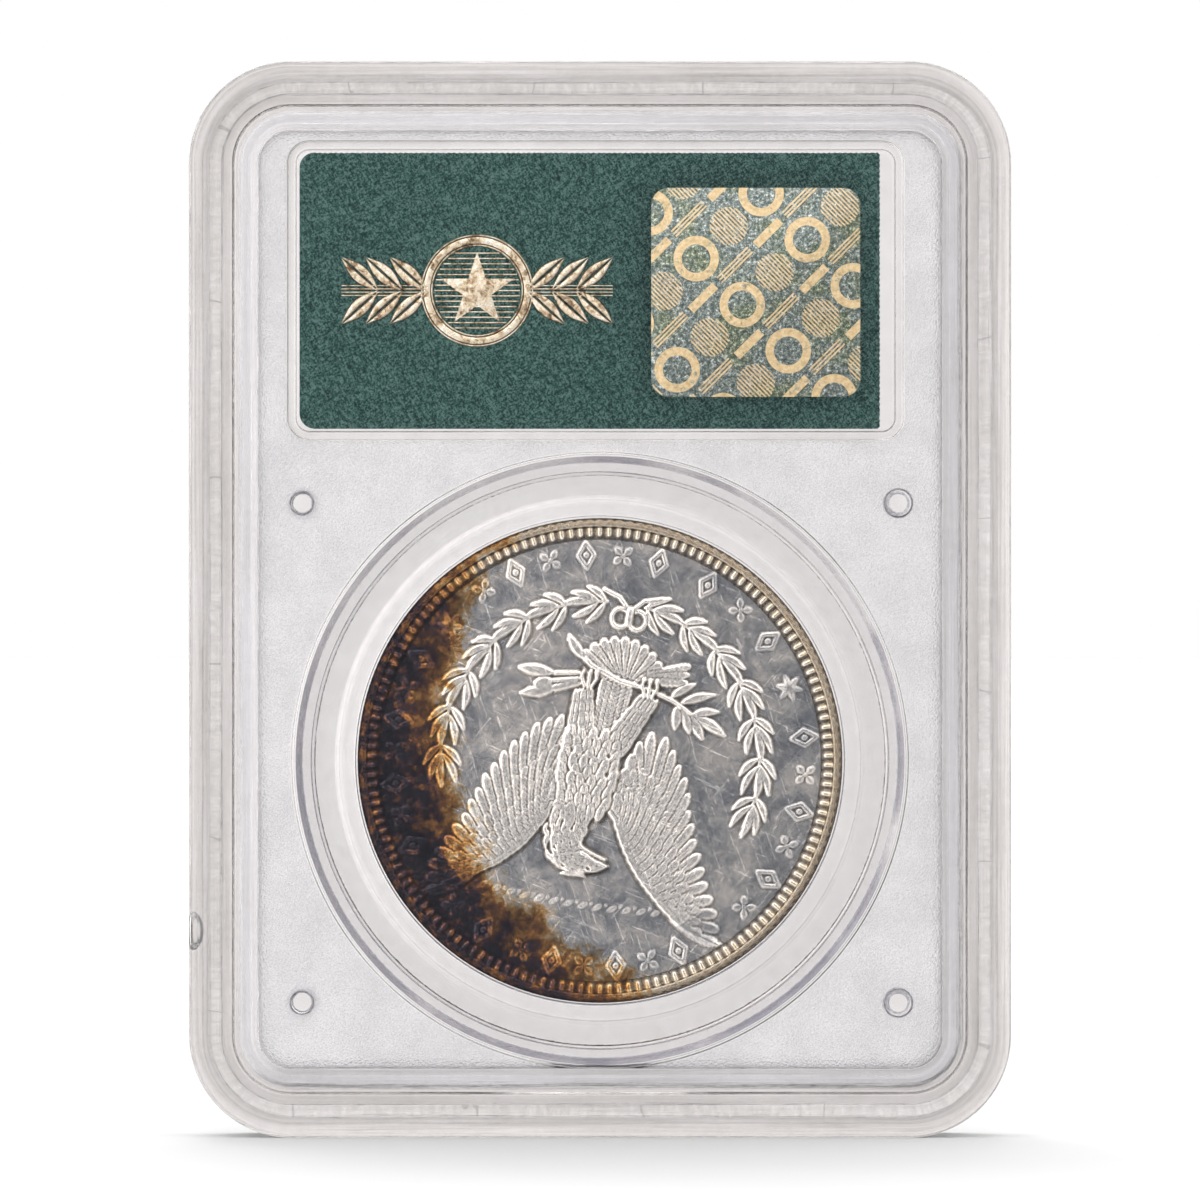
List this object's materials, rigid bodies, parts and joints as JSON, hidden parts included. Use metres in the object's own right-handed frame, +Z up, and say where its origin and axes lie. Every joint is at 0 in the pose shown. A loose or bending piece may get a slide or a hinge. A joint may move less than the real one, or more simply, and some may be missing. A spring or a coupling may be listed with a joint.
{
  "type": "graded coin slab",
  "caption": "Clear welded two-shell coin holder with a stepped rim, frosted panel, round coin window, label pocket and a large toned silver coin in a centring ring.",
  "frame": {"origin": "middle of the slab's bottom edge, at mid thickness, so the slab stands upright on a surface", "axes": "+Z up the slab's height, +Y out of its front face, -Y out of its rear face, +X to the right when the rear face is seen"},
  "size_m": [0.0644, 0.008, 0.0843],
  "materials": {
    "clear_case": "clear moulded polystyrene, polished outside, frosted inside round the windows",
    "ring_plastic": "clear, slightly hazy moulded ring",
    "toned_silver": "struck silver with mirror fields, frosted devices and dark edge toning",
    "green_card": "dark green fibrous card",
    "gold_foil": "embossed pale gold foil",
    "hologram_film": "metallised film with a glittering pattern"
  },
  "bodies": {
    "holder": {"rear_shell": "clear_case", "front_shell": "clear_case", "coin_ring": "ring_plastic", "security_sticker": "hologram_film"},
    "coin": {"coin": "toned_silver"},
    "label": {"label_card": "green_card", "foil_emblem": "gold_foil"}
  },
  "joints": [
    {"name": "coin_turn", "type": "hinge", "parent": "holder", "child": "coin", "pos_m": [0, 0, 0.0295], "axis": [0, 1, 0], "continuous": true},
    {"name": "label_shift", "type": "slide", "parent": "holder", "child": "label", "axis": [1, 0, 0], "range_m": [0, 0.0009]}
  ]
}
